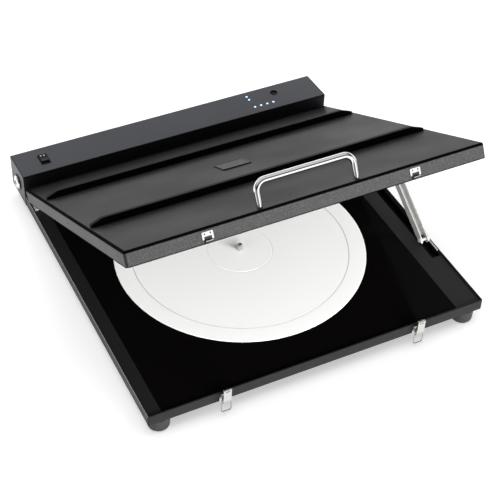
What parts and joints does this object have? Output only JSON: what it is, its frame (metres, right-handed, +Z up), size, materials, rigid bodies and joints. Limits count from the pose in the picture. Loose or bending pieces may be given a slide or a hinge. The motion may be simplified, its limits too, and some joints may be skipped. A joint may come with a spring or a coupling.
{
  "type": "record flattening press",
  "caption": "Heated press that flattens warped records: base with disc and spindle, hinged clamping lid with handle, side stay, front draw latches and rear control housing.",
  "frame": {"origin": "on the floor, under the middle of the open press's bounding box", "axes": "+X to the user's right, +Y to the back (the control housing), +Z up"},
  "size_m": [0.448, 0.4748, 0.2664],
  "materials": {
    "dark_paint": "satin",
    "lid_paint": "satin powder coat",
    "housing_paint": "satin",
    "gloss_deck": "gloss",
    "strip_paint": "satin",
    "disc_white": "matte",
    "chrome": "polished",
    "steel": "bright",
    "aluminium": "satin",
    "rubber": "matte",
    "black_plastic": "matte",
    "board": "matte",
    "black_metal": "satin",
    "lamp_lens": "clear",
    "nylon": "matte",
    "platen_black": "anodised",
    "dark_lens": "clear"
  },
  "bodies": {
    "base": {"base_pan": "dark_paint", "deck_frame": "steel", "insulation_pad": "board", "heater_plate": "aluminium", "deck_panel": "gloss_deck", "strip_left": "strip_paint", "strip_right": "strip_paint", "stay_liner": "black_metal", "platter_disc": "disc_white", "spindle": "chrome", "foot_front_left": "rubber", "foot_front_right": "rubber", "foot_rear_left": "rubber", "foot_rear_right": "rubber", "housing_cover": "housing_paint", "switch_frame": "black_plastic", "button_frame": "black_plastic", "inlet_bush": "chrome", "inlet_core": "black_plastic", "stay_bracket": "steel", "stay_pivot": "steel", "lamp_1": "lamp_lens", "lamp_2": "lamp_lens", "lamp_3": "lamp_lens", "lamp_4": "lamp_lens", "lamp_5": "dark_lens", "lamp_6": "lamp_lens", "lamp_7": "lamp_lens", "hinge_bracket_left": "steel", "hinge_pin_left": "steel", "latch_bracket_left": "chrome", "latch_pin_left": "steel", "hinge_bracket_right": "steel", "hinge_pin_right": "steel", "latch_bracket_right": "chrome", "latch_pin_right": "steel"},
    "lid": {"lid_shell": "lid_paint", "platen": "platen_black", "platen_core_front": "board", "platen_core_rear": "board", "rib_front": "black_metal", "rib_rear": "black_metal", "handle": "chrome", "badge_plate": "steel", "stay_hanger": "steel", "stay_glide": "nylon", "hinge_leaf_left": "steel", "hinge_leaf_right": "steel", "handle_nut_left": "steel", "handle_nut_right": "steel", "strike_left": "chrome", "strike_right": "chrome"},
    "stay_arm": {"stay_arm": "steel"},
    "lever_left": {"lever_left": "chrome"},
    "lever_right": {"lever_right": "chrome"},
    "bail_left": {"bail_left": "chrome"},
    "bail_right": {"bail_right": "chrome"},
    "rocker": {"rocker": "black_plastic"},
    "start_button": {"start_button": "black_plastic"}
  },
  "joints": [
    {"name": "lid_hinge", "type": "hinge", "parent": "base", "child": "lid", "pos_m": [0.0015, 0.171, 0.04455], "axis": [-1, 0, 0], "range_deg": [-28.2, 0]},
    {"name": "stay_swing", "type": "hinge", "parent": "base", "child": "stay_arm", "pos_m": [0.2137, -0.1046, 0.035], "axis": [1, 0, 0], "range_deg": [-31.71, 0]},
    {"name": "latch_lever_left", "type": "hinge", "parent": "base", "child": "lever_left", "pos_m": [-0.1265, -0.2338, 0.0225], "axis": [-1, 0, 0], "range_deg": [-170, 0]},
    {"name": "latch_bail_left", "type": "hinge", "parent": "lever_left", "child": "bail_left", "pos_m": [-0.1265, -0.2341, 0.0259], "axis": [1, 0, 0], "range_deg": [-360.11, 0]},
    {"name": "latch_lever_right", "type": "hinge", "parent": "base", "child": "lever_right", "pos_m": [0.1295, -0.2338, 0.0225], "axis": [-1, 0, 0], "range_deg": [-170, 0]},
    {"name": "latch_bail_right", "type": "hinge", "parent": "lever_right", "child": "bail_right", "pos_m": [0.1295, -0.2341, 0.0259], "axis": [1, 0, 0], "range_deg": [-360.11, 0]},
    {"name": "power_rocker", "type": "hinge", "parent": "base", "child": "rocker", "pos_m": [-0.1829, 0.21074, 0.06225], "axis": [1, 0, 0], "range_deg": [0, 12]},
    {"name": "start_push", "type": "slide", "parent": "base", "child": "start_button", "axis": [0, 0.0471, 0.9989], "range_m": [-0.0015, 0], "stiffness_N_per_m": 400}
  ],
  "couplings": [
    {"joint": "stay_swing", "follows": "lid_hinge", "ratio": 1.1239},
    {"joint": "latch_bail_left", "follows": "latch_lever_left", "ratio": 2.118},
    {"joint": "latch_bail_right", "follows": "latch_lever_right", "ratio": 2.118}
  ]
}
